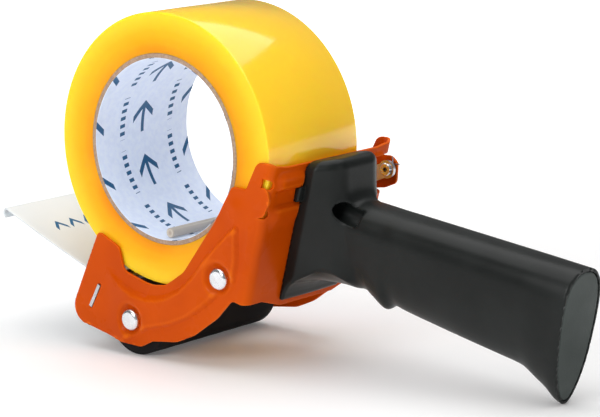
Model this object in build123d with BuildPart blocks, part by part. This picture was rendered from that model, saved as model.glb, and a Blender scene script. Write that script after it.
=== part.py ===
from build123d import *
import math
import os

os.makedirs("parts", exist_ok=True)

# Hand-held packing tape dispenser with its roll.
# +X points forward to the tape flap, +Y to the open loading side, +Z up.
# The dispenser stands on its rubber roller and the tip of its handle, at Z = 0.

# ---- Driving dimensions, millimetres ----------------------------------------------------
# Tape roll
core_bore_radius = 38.1
core_wall = 2.1
roll_radius = 57.3
roll_width = 57.7
roll_x = 43.0
roll_z = 90.4
roll_near_face = 38.35

# Sheet-metal frame: two side plates joined by a web that leans back
frame_half_width = 40.3
sheet = 1.2
bend_radius = 4.0
web_lean = 15.0
web_foot_x = -1.8
web_foot_z = 29.5
web_top = 60.0
web_reach_down = 50.0
web_reach_up = 70.0
flange_reach = 110.0

# Rubber application roller
roller_x = 62.1
roller_z = 16.0
roller_radius = 16.0
roller_length = 74.0
roller_tube_radius = 11.5
roller_tube_bore = 8.5
axle_radius = 2.5

# Rear tie rod
tie_x = 12.0
tie_z = 39.8
tie_radius = 1.5

# Riveted heads of the axle and the tie rod
rivet_head_radius = 4.7
rivet_head_height = 1.9

# Blade bracket, whose end tabs sit in slots of the side plates
bracket_x = 83.05
bracket_z = 23.75
bracket_angle = 60.8
bracket_sheet = 1.5
tab_length = 11.4
slot_length = 12.7
slot_width = 1.8

# Clear tape flap
flap_angle = 22.7
flap_thickness = 0.8
flap_width = 75.0
flap_tip_x = 140.3
clamp_length = 8.0
hinge_gap = 0.3

# Hold-down arm
pivot_x = -16.5
pivot_z = 77.0
pivot_radius = 1.5
lever_outer_y = -37.5
lever_thickness = 1.5
rod_radius = 1.5
sleeve_radius = 2.1
rod_clearance = 0.3

# Handle
base_width = 38.0
base_depth = 5.0
base_low = -1.5
base_high = 60.4
neck_x = -31.0
neck_top = 89.5
neck_bottom = 36.5
neck_width = 26.0
grip_end_width = 26.5
grip_end_height = 56.0
handle_wall = 3.0
cap_thickness = 3.5
end_top = (-140.3, 55.3)
end_bottom = (-130.0, 0.0)

running = 0.05

# ---- Worked-out places ------------------------------------------------------------------
roll_far_face = roll_near_face - roll_width
plate_inner = frame_half_width - sheet
rod_x = roll_x
rod_z = roll_z - core_bore_radius + sleeve_radius + rod_clearance
lean = math.radians(web_lean)
web_up = Vector(-math.sin(lean), 0, math.cos(lean))
web_out = Vector(-math.cos(lean), 0, -math.sin(lean))
web_foot = Vector(web_foot_x, 0, web_foot_z)
web_plane = Plane(origin=web_foot, x_dir=(0, -1, 0), z_dir=web_out)
slope = math.radians(bracket_angle)
bracket_down = Vector(math.cos(slope), 0, -math.sin(slope))
bracket_out = Vector(math.sin(slope), 0, math.cos(slope))
bracket_centre = Vector(bracket_x, 0, bracket_z)
rise = math.radians(flap_angle)
flap_along = Vector(math.cos(rise), 0, math.sin(rise))
flap_up = Vector(-math.sin(rise), 0, math.cos(rise))


def side_plane(y):
    """Plane square to Y at the given y, with its sketch axes along X and Z."""
    return Plane.XZ.offset(-y)


def web_height(z):
    """Distance up the leaning web of a point at height z."""
    return (z - web_foot_z) / math.cos(lean)


def ring(y_low, y_high, outer, inner, x, z):
    """A plain tube with its axis along Y."""
    with BuildPart() as tube:
        with BuildSketch(side_plane(y_high)):
            with Locations((x, z)):
                Circle(outer)
                Circle(inner, mode=Mode.SUBTRACT)
        extrude(amount=y_high - y_low)
    return tube.part


def riveted_shaft(x, z, radius):
    """A shaft across the frame, with a domed head outside each side plate."""
    with BuildPart() as shaft:
        with BuildSketch(side_plane(frame_half_width)):
            with Locations((x, z)):
                Circle(radius)
        extrude(amount=2 * frame_half_width)
        for side in (1, -1):
            with BuildSketch(side_plane(side * frame_half_width)):
                with Locations((x, z)):
                    Circle(rivet_head_radius)
            extrude(amount=-side * rivet_head_height)
        rims = shaft.edges().filter_by(GeomType.CIRCLE).group_by(Axis.Y)
        fillet(rims[0] + rims[-1], radius=0.9 * rivet_head_height)
    return shaft.part


def save(part, name):
    """Label a finished piece and write its STEP file."""
    part.label = name
    export_step(part, f"parts/{name}.step")


# ---- Frame ------------------------------------------------------------------------------
# The outline of a side plate, corner by corner, with the radius of each corner.
side_outline = [
    ((98.7, 12.9), 7.5),
    ((79.9, 52.2), 1.6),
    ((68.3, 46.8), 3.0),
    ((65.7, 36.8), 4.0),
    ((50.6, 32.3), 20.0),
    ((42.0, 33.3), 12.0),
    ((31.8, 40.0), 12.0),
    ((13.4, 63.9), 50.0),
    ((4.0, 79.0), 1.8),
    ((-3.4, 78.6), 1.5),
    ((-9.6, 90.2), 4.0),
    ((-45.0, 90.0), 1.0),
    ((-45.0, 30.0), 1.0),
    ((1.0, 30.0), 2.0),
    ((5.6, 31.4), 3.5),
    ((14.0, 22.6), 20.0),
    ((27.0, 13.6), 20.0),
    ((36.5, 9.6), 12.0),
    ((50.5, 8.0), 5.0),
    ((57.0, 4.7), 5.0),
    ((64.5, 5.0), 8.0),
]
far_lug = [(-6, 67.5), (-13.4, 68.4), (-19.4, 70.8), (-20.2, 79.6), (-17.0, 82.4), (-6, 82.4)]
near_lug = [(-6, 67.5), (-11.6, 67.5), (-15.6, 74.2), (-14.4, 79.9), (-6, 79.9)]
lug_corner = 2.5
relief_radius = 2.2
relief_y = 36.6
relief_low = web_height(68.3)
relief_high = web_height(80.3)
arm_window_low = web_height(66.5)
arm_window_high = web_height(83.6)
arm_window_y = 26.0
web_cut_depth = bend_radius + 0.4
channel_plane = Plane(origin=web_foot - web_up * web_reach_down, x_dir=-web_out, z_dir=web_up)
screw_heights = [web_height(47.0), web_height(72.0)]
screw_y = 11.0
screw_radius = 2.0

with BuildPart() as frame:
    with BuildSketch(channel_plane):
        with Locations((flange_reach / 2, 0)):
            outer_channel = Rectangle(flange_reach, 2 * frame_half_width)
        fillet(outer_channel.vertices().group_by(Axis.X)[0], radius=bend_radius)
        with BuildSketch(channel_plane, mode=Mode.SUBTRACT):
            with Locations((sheet + flange_reach / 2, 0)):
                inner_channel = Rectangle(flange_reach, 2 * plate_inner)
            fillet(inner_channel.vertices().group_by(Axis.X)[0], radius=bend_radius - sheet)
    extrude(amount=web_reach_down + web_reach_up)
    with BuildSketch(side_plane(frame_half_width + 1)):
        with BuildLine():
            FilletPolyline(*[p for p, r in side_outline], radius=[r for p, r in side_outline], close=True)
        make_face()
    extrude(amount=2 * frame_half_width + 2, mode=Mode.INTERSECT)
    # top edge of the web, lower than the side plates
    with BuildSketch(web_plane):
        with Locations((0, web_top + 10)):
            RectangleRounded(2 * (frame_half_width - bend_radius - 1), 20, 2)
    extrude(amount=-web_cut_depth, both=True, mode=Mode.SUBTRACT)
    # the far window that the arm swings through, and the reliefs that free the lugs from the bends
    with BuildSketch(web_plane):
        with Locations((-frame_half_width + 1.5, (relief_low + relief_high) / 2),
                       (frame_half_width - 1.5, (relief_low + relief_high) / 2)):
            Rectangle(5.2, relief_high - relief_low)
        with Locations((relief_y, relief_low), (-relief_y, relief_low),
                       (relief_y, relief_high), (-relief_y, relief_high)):
            Circle(relief_radius)
        with Locations(((arm_window_y + frame_half_width + 1) / 2, (arm_window_low + arm_window_high) / 2)):
            Rectangle(frame_half_width + 1 - arm_window_y, arm_window_high - arm_window_low)
        for height in screw_heights:
            with Locations((-screw_y, height), (screw_y, height)):
                Circle(screw_radius + running)
    extrude(amount=-web_cut_depth, both=True, mode=Mode.SUBTRACT)
    # lower lip of the web, which dips in the middle
    with BuildSketch(web_plane):
        with BuildLine():
            Polyline((-30, 0.7), (-17, -3.6), (17, -3.6), (30, 0.7), close=True)
        make_face()
    extrude(amount=-sheet)
    # lugs straight on from the side plates; the far one carries the arm pivot
    for plate_y, lug in ((frame_half_width, near_lug), (-plate_inner, far_lug)):
        with BuildSketch(side_plane(plate_y)):
            with BuildLine():
                FilletPolyline(*lug, radius=lug_corner, close=True)
            make_face()
        extrude(amount=sheet)
    # holes through both side plates
    with BuildSketch(side_plane(frame_half_width + 1)):
        with Locations((roller_x, roller_z)):
            Circle(axle_radius + running)
        with Locations((tie_x, tie_z)):
            Circle(tie_radius + running)
        with Locations((bracket_x, bracket_z)):
            SlotOverall(slot_length, slot_width, rotation=-bracket_angle)
    extrude(amount=2 * frame_half_width + 2, mode=Mode.SUBTRACT)
    with BuildSketch(side_plane(-plate_inner)):
        with Locations((pivot_x, pivot_z)):
            Circle(pivot_radius + running)
    extrude(amount=sheet, mode=Mode.SUBTRACT)
save(frame.part, "frame")

# ---- Shafts and the application roller ----------------------------------------------------
save(riveted_shaft(tie_x, tie_z, tie_radius), "tie_rod")
save(riveted_shaft(roller_x, roller_z, axle_radius), "roller_axle")

half_roller = roller_length / 2
sleeve = ring(-half_roller, half_roller, roller_radius, roller_tube_radius, roller_x, roller_z)
save(sleeve, "roller_sleeve")
tube = ring(-half_roller, half_roller, roller_tube_radius, roller_tube_bore, roller_x, roller_z)
save(tube, "roller_tube")

bushing_length = 9.0
bushing_flange = 0.8
bushing_flange_radius = 10.5
with BuildPart() as roller_bushings:
    for side in (1, -1):
        face = side * half_roller
        with BuildSketch(side_plane(face)):
            with Locations((roller_x, roller_z)):
                Circle(roller_tube_bore)
                Circle(axle_radius + running, mode=Mode.SUBTRACT)
        extrude(amount=side * bushing_length)
        with BuildSketch(side_plane(face)):
            with Locations((roller_x, roller_z)):
                Circle(bushing_flange_radius)
                Circle(axle_radius + running, mode=Mode.SUBTRACT)
        extrude(amount=-side * bushing_flange)
save(roller_bushings.part, "roller_bushings")

washer_radius = 5.5
washer_gap = 0.2
washer_thickness = 0.9
with BuildPart() as roller_washers:
    for side in (1, -1):
        with BuildSketch(side_plane(side * (plate_inner - washer_gap / 2))):
            with Locations((roller_x, roller_z)):
                Circle(washer_radius)
                Circle(axle_radius + running, mode=Mode.SUBTRACT)
        extrude(amount=side * washer_thickness)
save(roller_washers.part, "roller_washers")

# ---- Blade, its bracket and the tape flap --------------------------------------------------
bracket_low = bracket_centre + bracket_down * 8.0
bracket_high = bracket_centre - bracket_down * 6.6
flange_end = bracket_high + flap_along * clamp_length
bracket_gap = 0.1
with BuildPart() as blade_bracket:
    with BuildSketch(side_plane(plate_inner - bracket_gap)):
        with BuildLine():
            FilletPolyline((bracket_low.X, bracket_low.Z), (bracket_high.X, bracket_high.Z),
                           (flange_end.X, flange_end.Z), radius=2.0)
        trace(line_width=bracket_sheet)
    extrude(amount=2 * (plate_inner - bracket_gap))
    with BuildSketch(side_plane(frame_half_width + 0.2)):
        with Locations((bracket_x, bracket_z)):
            Rectangle(tab_length, bracket_sheet, rotation=-bracket_angle)
    extrude(amount=2 * (frame_half_width + 0.2))
save(blade_bracket.part, "blade_bracket")

# Toothed blade flat against the front of the bracket
blade_thickness = 0.8
blade_length = 72.0
tooth_pitch = 3.0
tooth_depth = 2.2
blade_top = 1.0
blade_root = -9.5
tooth_count = round(blade_length / tooth_pitch)
blade_origin = bracket_centre + bracket_out * (bracket_sheet / 2)
blade_plane = Plane(origin=blade_origin, x_dir=(0, 1, 0), z_dir=bracket_out)
blade_rivet_radius = 1.6
blade_rivet_row = -3.5
blade_rivet_y = 26.0
blade_rivet_spots = [(y, blade_rivet_row) for y in (-blade_rivet_y, 0, blade_rivet_y)]
with BuildPart() as blade:
    with BuildSketch(blade_plane):
        with BuildLine():
            teeth = []
            for i in range(tooth_count):
                left = -blade_length / 2 + i * tooth_pitch
                teeth.append((left, blade_root))
                teeth.append((left + tooth_pitch / 2, blade_root - tooth_depth))
            right_edge = [(blade_length / 2, blade_root), (blade_length / 2, blade_top)]
            Polyline(*teeth, *right_edge, (-blade_length / 2, blade_top), close=True)
        make_face()
        with Locations(*blade_rivet_spots):
            Circle(blade_rivet_radius + running, mode=Mode.SUBTRACT)
    extrude(amount=blade_thickness)
save(blade.part, "blade")

with BuildPart() as blade_rivets:
    with BuildSketch(blade_plane):
        with Locations(*blade_rivet_spots):
            Circle(blade_rivet_radius)
    extrude(amount=blade_thickness)
    with BuildSketch(blade_plane.offset(blade_thickness)):
        with Locations(*blade_rivet_spots):
            Circle(blade_rivet_radius * 1.7)
    extrude(amount=0.9, taper=25)
save(blade_rivets.part, "blade_rivets")

# The flap is one moulded sheet: its root is clamped, and it flexes just in front of the clamp.
flap_root_origin = bracket_high + flap_up * (bracket_sheet / 2) + flap_along * 0.6
flap_plane = Plane(origin=flap_root_origin, x_dir=flap_along, z_dir=flap_up)
root_length = clamp_length - 0.6
flap_rivet_x = 3.6
flap_rivet_spots = [(flap_rivet_x, -28.0), (flap_rivet_x, 0), (flap_rivet_x, 28.0)]
with BuildPart() as flap_root:
    with BuildSketch(flap_plane):
        with Locations((root_length / 2, 0)):
            Rectangle(root_length, flap_width)
        with Locations(*flap_rivet_spots):
            Circle(blade_rivet_radius + running, mode=Mode.SUBTRACT)
    extrude(amount=flap_thickness)
save(flap_root.part, "flap_root")

clamp_bar_thickness = 1.6
with BuildPart() as flap_clamp_bar:
    with BuildSketch(flap_plane.offset(flap_thickness)):
        with Locations((root_length / 2, 0)):
            Rectangle(root_length, flap_width)
        with Locations(*flap_rivet_spots):
            Circle(blade_rivet_radius + running, mode=Mode.SUBTRACT)
    extrude(amount=clamp_bar_thickness)
    fillet(flap_clamp_bar.faces().sort_by(Axis.Z)[-1].edges().filter_by(Axis.Y), radius=0.6)
save(flap_clamp_bar.part, "flap_clamp_bar")

with BuildPart() as flap_rivets:
    with BuildSketch(flap_plane):
        with Locations(*flap_rivet_spots):
            Circle(blade_rivet_radius)
    extrude(amount=flap_thickness + clamp_bar_thickness)
    with BuildSketch(flap_plane.offset(flap_thickness + clamp_bar_thickness)):
        with Locations(*flap_rivet_spots):
            Circle(blade_rivet_radius * 1.7)
    extrude(amount=0.9, taper=25)
save(flap_rivets.part, "flap_rivets")

flap_start = root_length + hinge_gap
flap_reach = (flap_tip_x - flap_root_origin.X) / math.cos(rise)
lip_drop = 2.6
lip_radius = 1.2
with BuildPart() as tape_flap:
    with BuildSketch(side_plane(flap_width / 2)):
        with BuildLine():
            start = flap_root_origin + flap_along * flap_start + flap_up * (flap_thickness / 2)
            knee = flap_root_origin + flap_along * (flap_reach - 0.6) + flap_up * (flap_thickness / 2)
            lip = knee - flap_up * lip_drop - flap_along * 0.2
            FilletPolyline((start.X, start.Z), (knee.X, knee.Z), (lip.X, lip.Z), radius=lip_radius)
        trace(line_width=flap_thickness)
    extrude(amount=flap_width)
save(tape_flap.part, "tape_flap")

# ---- Hold-down arm ------------------------------------------------------------------------
lever_inner_y = lever_outer_y + lever_thickness
eye_radius = 3.9
rod_eye_radius = 3.2
lever_run = Vector(rod_x - pivot_x, 0, rod_z - pivot_z)
lever_angle = math.degrees(math.atan2(lever_run.Z, lever_run.X))
lever_plane = side_plane(lever_inner_y)
with BuildPart() as hold_down_lever:
    with BuildSketch(lever_plane):
        with Locations((pivot_x, pivot_z)):
            Circle(eye_radius)
        with Locations((rod_x, rod_z)):
            Circle(rod_eye_radius)
        with Locations(((pivot_x + rod_x) / 2, (pivot_z + rod_z) / 2)):
            Rectangle(lever_run.length, 2 * rod_eye_radius, rotation=lever_angle)
        with Locations((pivot_x, pivot_z)):
            Circle(pivot_radius + running, mode=Mode.SUBTRACT)
        with Locations((rod_x, rod_z)):
            Circle(rod_radius + 0.01, mode=Mode.SUBTRACT)
    extrude(amount=lever_thickness)
save(hold_down_lever.part, "hold_down_lever")

rod_near_end = 34.8
sleeve_far_end = -16.0
sleeve_near_end = 35.5
with BuildPart() as core_rod:
    with BuildSketch(side_plane(rod_near_end)):
        with Locations((rod_x, rod_z)):
            Circle(rod_radius)
    extrude(amount=rod_near_end - lever_outer_y + 0.6)
    with BuildSketch(side_plane(lever_inner_y + 1.0)):
        with Locations((rod_x, rod_z)):
            Circle(rod_radius + 0.8)
    extrude(amount=1.0)
save(core_rod.part, "core_rod")

with BuildPart() as rod_sleeve:
    with BuildSketch(side_plane(sleeve_near_end)):
        with Locations((rod_x, rod_z)):
            Circle(sleeve_radius)
    extrude(amount=sleeve_near_end - sleeve_far_end)
    with BuildSketch(side_plane(rod_near_end)):
        with Locations((rod_x, rod_z)):
            Circle(rod_radius + 0.01)
    extrude(amount=rod_near_end - sleeve_far_end, mode=Mode.SUBTRACT)
save(rod_sleeve.part, "rod_sleeve")

# Hollow pivot rivet: a head outside the far lug and a rolled rim inside the lever
rivet_rim_radius = 2.8
rivet_bore = 1.0
rim_y = lever_inner_y + 0.1
with BuildPart() as pivot_rivet:
    with BuildSketch(Plane((pivot_x, 0, pivot_z), x_dir=(1, 0, 0), z_dir=(0, 0, 1))):
        with BuildLine():
            Polyline((rivet_bore, rim_y + 0.8), (rivet_rim_radius - 0.4, rim_y + 0.8),
                     (rivet_rim_radius, rim_y + 0.4), (rivet_rim_radius, rim_y), (pivot_radius, rim_y),
                     (pivot_radius, -frame_half_width), (rivet_rim_radius, -frame_half_width),
                     (rivet_rim_radius - 0.6, -frame_half_width - 1.0), (0, -frame_half_width - 1.2),
                     (0, -frame_half_width), (rivet_bore, -frame_half_width), close=True)
        make_face()
    revolve(axis=Axis((pivot_x, 0, pivot_z), (0, 1, 0)))
save(pivot_rivet.part, "pivot_rivet")

# Torsion spring round the rivet, between the far lug and the lever
spring_wire = 0.25
spring_coil = 2.2
spring_pitch = 0.55
spring_turns = 1.75
spring_y = -plate_inner + 0.32
spring_legs = (5.0, 5.5)
with BuildPart() as torsion_spring:
    with BuildLine():
        coil = Helix(pitch=spring_pitch, height=spring_pitch * spring_turns, radius=spring_coil,
                     center=(pivot_x, spring_y, pivot_z), direction=(0, 1, 0))
    with BuildSketch(Plane(origin=coil @ 0, z_dir=coil % 0)):
        Circle(spring_wire)
    sweep(path=coil, is_frenet=True)
    for end in (0, 1):
        leaving = (coil % end) * (2 * end - 1)
        with BuildSketch(Plane(origin=coil @ end - leaving * spring_wire, z_dir=(leaving.X, 0, leaving.Z))):
            Circle(spring_wire)
        extrude(amount=spring_legs[end] + spring_wire)
save(torsion_spring.part, "torsion_spring")

# ---- Handle -------------------------------------------------------------------------------
end_mid = Vector((end_top[0] + end_bottom[0]) / 2, 0, (end_top[1] + end_bottom[1]) / 2)
end_up = Vector(end_top[0] - end_bottom[0], 0, end_top[1] - end_bottom[1]).normalized()
end_out = Vector(-end_up.Z, 0, end_up.X)
end_plane = Plane(origin=end_mid, x_dir=(0, -1, 0), z_dir=end_out)

# Grip stations: x, top, bottom, width
grip_stations = [
    (-27.0, 72.2, 37.0, 25.0),
    (-38.0, 70.6, 32.4, 25.4),
    (-45.0, 69.5, 26.8, 25.6),
    (-50.5, 68.6, 29.0, 25.6),
    (-102.0, 61.1, 15.7, 26.2),
    (-116.0, 59.0, 10.4, 26.4),
]


def grip_shape(first, inset):
    """The grip from one of its stations to the end, or the same shape inset for its hollow."""
    with BuildPart() as grip:
        for x, top, bottom, width in grip_stations[first:]:
            with BuildSketch(Plane(origin=(x, 0, (top + bottom) / 2), x_dir=(0, -1, 0), z_dir=(-1, 0, 0))):
                RectangleRounded(width - 2 * inset, top - bottom - 2 * inset, 0.46 * (width - 2 * inset))
        with BuildSketch(end_plane.offset(-cap_thickness)):
            end_width = grip_end_width - 2 * inset
            RectangleRounded(end_width, grip_end_height - 2 * inset, 0.46 * end_width)
        loft(ruled=True)
    return grip.part


pocket_radius = 4.2
pocket_depth = 15.0
washer_outer = 3.9
with BuildPart() as handle_body:
    with BuildSketch(web_plane):
        with Locations((0, (base_low + base_high) / 2)):
            RectangleRounded(base_width, base_high - base_low, 3.5)
    extrude(amount=base_depth)
    with BuildSketch(web_plane.offset(base_depth)):
        with Locations((0, (base_low + base_high) / 2)):
            RectangleRounded(base_width, base_high - base_low, 3.5)
    neck_middle = (neck_x, 0, (neck_top + neck_bottom) / 2)
    with BuildSketch(Plane(origin=neck_middle, x_dir=(0, -1, 0), z_dir=(-1, 0, 0))):
        RectangleRounded(neck_width, neck_top - neck_bottom, 8.0)
    loft(ruled=True)
    add(grip_shape(0, 0.0))
    add(grip_shape(2, handle_wall), mode=Mode.SUBTRACT)
    # screw holes and the pockets that reach their heads
    with BuildSketch(web_plane):
        for height in screw_heights:
            with Locations((-screw_y, height), (screw_y, height)):
                Circle(screw_radius + running)
    extrude(amount=base_depth, mode=Mode.SUBTRACT)
    with BuildSketch(web_plane.offset(base_depth)):
        for height in screw_heights:
            with Locations((-screw_y, height), (screw_y, height)):
                Circle(pocket_radius)
    extrude(amount=pocket_depth, mode=Mode.SUBTRACT)
save(handle_body.part, "handle_body")

spigot_depth = 5.0
spigot_width = 18.5
spigot_height = 38.0
with BuildPart() as handle_end_cap:
    with BuildSketch(end_plane.offset(-cap_thickness)):
        RectangleRounded(grip_end_width, grip_end_height, 0.46 * grip_end_width)
    extrude(amount=cap_thickness)
    chamfer(handle_end_cap.faces().sort_by(Axis.X)[0].edges(), length=0.6)
    with BuildSketch(end_plane.offset(-cap_thickness)):
        RectangleRounded(spigot_width, spigot_height, 0.46 * spigot_width)
        RectangleRounded(spigot_width - 4, spigot_height - 4, 0.46 * (spigot_width - 4), mode=Mode.SUBTRACT)
    extrude(amount=-spigot_depth)
save(handle_end_cap.part, "handle_end_cap")

screw_washer = 0.8
screw_head_radius = 3.4
screw_head_height = 2.4
with BuildPart() as handle_washers:
    with BuildSketch(web_plane.offset(base_depth)):
        for height in screw_heights:
            with Locations((-screw_y, height), (screw_y, height)):
                Circle(washer_outer)
                Circle(screw_radius + running, mode=Mode.SUBTRACT)
    extrude(amount=screw_washer)
save(handle_washers.part, "handle_washers")

with BuildPart() as handle_screws:
    with BuildSketch(web_plane.offset(-sheet)):
        for height in screw_heights:
            with Locations((-screw_y, height), (screw_y, height)):
                Circle(screw_radius)
    extrude(amount=sheet + base_depth + screw_washer)
    with BuildSketch(web_plane.offset(base_depth + screw_washer)):
        for height in screw_heights:
            with Locations((-screw_y, height), (screw_y, height)):
                Circle(screw_head_radius)
    extrude(amount=screw_head_height)
    with BuildSketch(web_plane.offset(base_depth + screw_washer + screw_head_height)):
        for height in screw_heights:
            with Locations((-screw_y, height), (screw_y, height)):
                Rectangle(4.0, 0.9)
                Rectangle(0.9, 4.0)
    extrude(amount=-1.4, mode=Mode.SUBTRACT)
save(handle_screws.part, "handle_screws")

# ---- Tape roll ------------------------------------------------------------------------------
core_radius = core_bore_radius + core_wall
tape_core = ring(roll_far_face, roll_near_face, core_radius, core_bore_radius, roll_x, roll_z)
save(tape_core, "tape_core")
tape_winding = ring(roll_far_face, roll_near_face, roll_radius, core_radius, roll_x, roll_z)
save(tape_winding, "tape_winding")
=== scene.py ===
import math

import bmesh
import bpy
import numpy as np
from mathutils import Matrix, Vector
from mathutils.geometry import delaunay_2d_cdt


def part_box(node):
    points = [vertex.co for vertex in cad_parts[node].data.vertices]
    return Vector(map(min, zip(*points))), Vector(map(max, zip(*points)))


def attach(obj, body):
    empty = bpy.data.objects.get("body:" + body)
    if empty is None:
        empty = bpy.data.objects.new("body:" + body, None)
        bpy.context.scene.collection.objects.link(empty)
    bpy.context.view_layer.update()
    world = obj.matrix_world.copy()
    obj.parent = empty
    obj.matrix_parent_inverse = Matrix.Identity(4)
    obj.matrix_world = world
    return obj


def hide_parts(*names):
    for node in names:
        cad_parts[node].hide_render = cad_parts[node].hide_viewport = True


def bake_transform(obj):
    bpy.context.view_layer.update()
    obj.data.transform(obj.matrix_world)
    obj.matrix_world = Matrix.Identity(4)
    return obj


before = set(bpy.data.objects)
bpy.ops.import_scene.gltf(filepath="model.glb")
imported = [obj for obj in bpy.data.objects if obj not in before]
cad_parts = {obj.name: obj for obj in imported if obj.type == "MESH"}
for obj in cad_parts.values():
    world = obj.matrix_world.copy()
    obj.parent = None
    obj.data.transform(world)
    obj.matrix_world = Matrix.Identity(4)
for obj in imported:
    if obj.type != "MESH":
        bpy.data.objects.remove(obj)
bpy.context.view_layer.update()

# A hand-held packing tape dispenser. Lengths are in millimetres until a mesh is made.
MM = 0.001
# Angle in degrees above which an edge of a pressed or moulded piece stays crisp
SHARP = 50


def box_mm(node):
    """Lowest and highest corner of a CAD node, in millimetres."""
    low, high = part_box(node)
    return np.array(low) / MM, np.array(high) / MM


def centre_xz(node):
    """The x and z of the middle of a CAD node."""
    low, high = box_mm(node)
    return (low[0] + high[0]) / 2, (low[2] + high[2]) / 2


# ---- Places taken from the frame ----
half_width = box_mm("frame")[1][1]
roller_xz = centre_xz("roller_sleeve")
roller_radius = box_mm("roller_sleeve")[1][2] - roller_xz[1]
tie_xz = centre_xz("tie_rod")
pivot_xz = centre_xz("pivot_rivet")
roll_xz = centre_xz("tape_winding")
roll_radius = box_mm("tape_winding")[1][0] - roll_xz[0]
roll_far, roll_near = box_mm("tape_winding")[0][1], box_mm("tape_winding")[1][1]
core_radius = box_mm("tape_core")[1][0] - roll_xz[0]
# Radius of a standard 3 inch core
core_bore = 38.1
sleeve_xz = centre_xz("rod_sleeve")
sleeve_radius = box_mm("rod_sleeve")[1][0] - sleeve_xz[0]

# The web leans back from its foot, which is a point x, z of its outer face
LEAN = math.radians(15.0)
WEB_FOOT = (-1.8, 29.5)
SHEET = 1.2
BEND = 4.0


# ---- Small mesh and number helpers ----
def smooth_step(value, low, high):
    """0 below low, 1 above high and an S-curve between them."""
    t = np.clip((value - low) / (high - low), 0, 1)
    return t * t * (3 - 2 * t)


def plateau(value, rise_from, rise_to, fall_from, fall_to):
    """0, then 1 from rise_to to fall_from, then 0 again, with S-curves between."""
    return smooth_step(value, rise_from, rise_to) * (1 - smooth_step(value, fall_from, fall_to))


def rounded(corners, step):
    """A closed outline through corners (x, z, radius), as points about one step apart."""
    points = []
    count = len(corners)
    for i, (x, z, radius) in enumerate(corners):
        here = np.array((x, z), float)
        back = np.array(corners[i - 1][:2]) - here
        on = np.array(corners[(i + 1) % count][:2]) - here
        back /= np.linalg.norm(back)
        on /= np.linalg.norm(on)
        half = math.acos(np.clip(back @ on, -1, 1)) / 2
        if radius <= 0 or half > 1.56:
            points.append(here)
            continue
        reach = radius / math.tan(half)
        middle = here + (back + on) / np.linalg.norm(back + on) * radius / math.sin(half)
        start = here + back * reach - middle
        turn = math.pi - 2 * half
        side = 1 if back[0] * on[1] - back[1] * on[0] < 0 else -1
        steps = max(2, int(radius * turn / step))
        for k in range(steps + 1):
            a = side * turn * k / steps
            points.append(middle + (start[0] * math.cos(a) - start[1] * math.sin(a),
                                    start[0] * math.sin(a) + start[1] * math.cos(a)))
    return points


def spaced(points, step, closed=True):
    """The same line with its long runs divided evenly."""
    result = []
    ends = points[1:] + points[:1] if closed else points[1:]
    for a, b in zip(points, ends):
        a, b = np.array(a, float), np.array(b, float)
        pieces = max(1, math.ceil(np.linalg.norm(b - a) / step - 1e-6))
        if np.linalg.norm(b - a) < 1e-6:
            continue
        result += [a + (b - a) * k / pieces for k in range(pieces)]
    if not closed:
        result.append(np.array(points[-1], float))
    return np.array(result)


def curved(points, per_run=8):
    """A smooth line through the points."""
    p = [np.array(q, float) for q in points]
    p = [2 * p[0] - p[1]] + p + [2 * p[-1] - p[-2]]
    line = []
    for i in range(1, len(p) - 2):
        for t in np.linspace(0, 1, per_run, endpoint=False):
            line.append(0.5 * (2 * p[i] + (p[i + 1] - p[i - 1]) * t
                               + (2 * p[i - 1] - 5 * p[i] + 4 * p[i + 1] - p[i + 2]) * t ** 2
                               + (3 * p[i] - p[i - 1] - 3 * p[i + 1] + p[i + 2]) * t ** 3))
    return line + [p[-2]]


def off_line(x, z, line):
    """Distance from each point to an open line."""
    best = np.full(np.shape(x), 1e9)
    for (x0, z0), (x1, z1) in zip(line[:-1], line[1:]):
        run = max((x1 - x0) ** 2 + (z1 - z0) ** 2, 1e-9)
        along = np.clip(((x - x0) * (x1 - x0) + (z - z0) * (z1 - z0)) / run, 0, 1)
        best = np.minimum(best, np.hypot(x - x0 - along * (x1 - x0), z - z0 - along * (z1 - z0)))
    return best


def within(x, z, outline):
    """Which points lie inside a closed outline."""
    crossed = np.zeros(np.shape(x), bool)
    for (x0, z0), (x1, z1) in zip(outline, np.roll(outline, -1, axis=0)):
        rise = z1 - z0 if z1 != z0 else 1e-9
        crossed ^= ((z0 > z) != (z1 > z)) & (x < (x1 - x0) * (z - z0) / rise + x0)
    return crossed


def filled(outline, holes, step):
    """Points and triangles that fill a closed outline, less its holes, on a fine grid."""
    loops = [outline] + holes
    points = np.concatenate(loops)
    edges = []
    start = 0
    for loop in loops:
        edges += [(start + k, start + (k + 1) % len(loop)) for k in range(len(loop))]
        start += len(loop)
    low, high = outline.min(axis=0), outline.max(axis=0)
    gx, gz = np.meshgrid(np.arange(low[0], high[0], step), np.arange(low[1], high[1], step))
    gx = gx + (np.arange(gx.shape[0]) % 2)[:, None] * step / 2
    gx, gz = gx.ravel(), gz.ravel()
    keep = within(gx, gz, outline)
    for hole in holes:
        keep &= ~within(gx, gz, hole)
    for loop in loops:
        keep &= off_line(gx, gz, np.vstack([loop, loop[:1]])) > 0.45 * step
    points = np.vstack([points, np.column_stack([gx[keep], gz[keep]])])
    result = delaunay_2d_cdt([Vector(p) for p in points], edges, [], 0, 1e-5)
    found = np.array([(p.x, p.y) for p in result[0]])
    faces = np.array(result[2])
    middle = found[faces].mean(axis=1)
    keep = within(middle[:, 0], middle[:, 1], outline)
    for hole in holes:
        keep &= ~within(middle[:, 0], middle[:, 1], hole)
    return found, faces[keep]


def placed(name, data):
    """A new object in the scene."""
    made = bpy.data.objects.new(name, data)
    bpy.context.scene.collection.objects.link(made)
    return made


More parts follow.
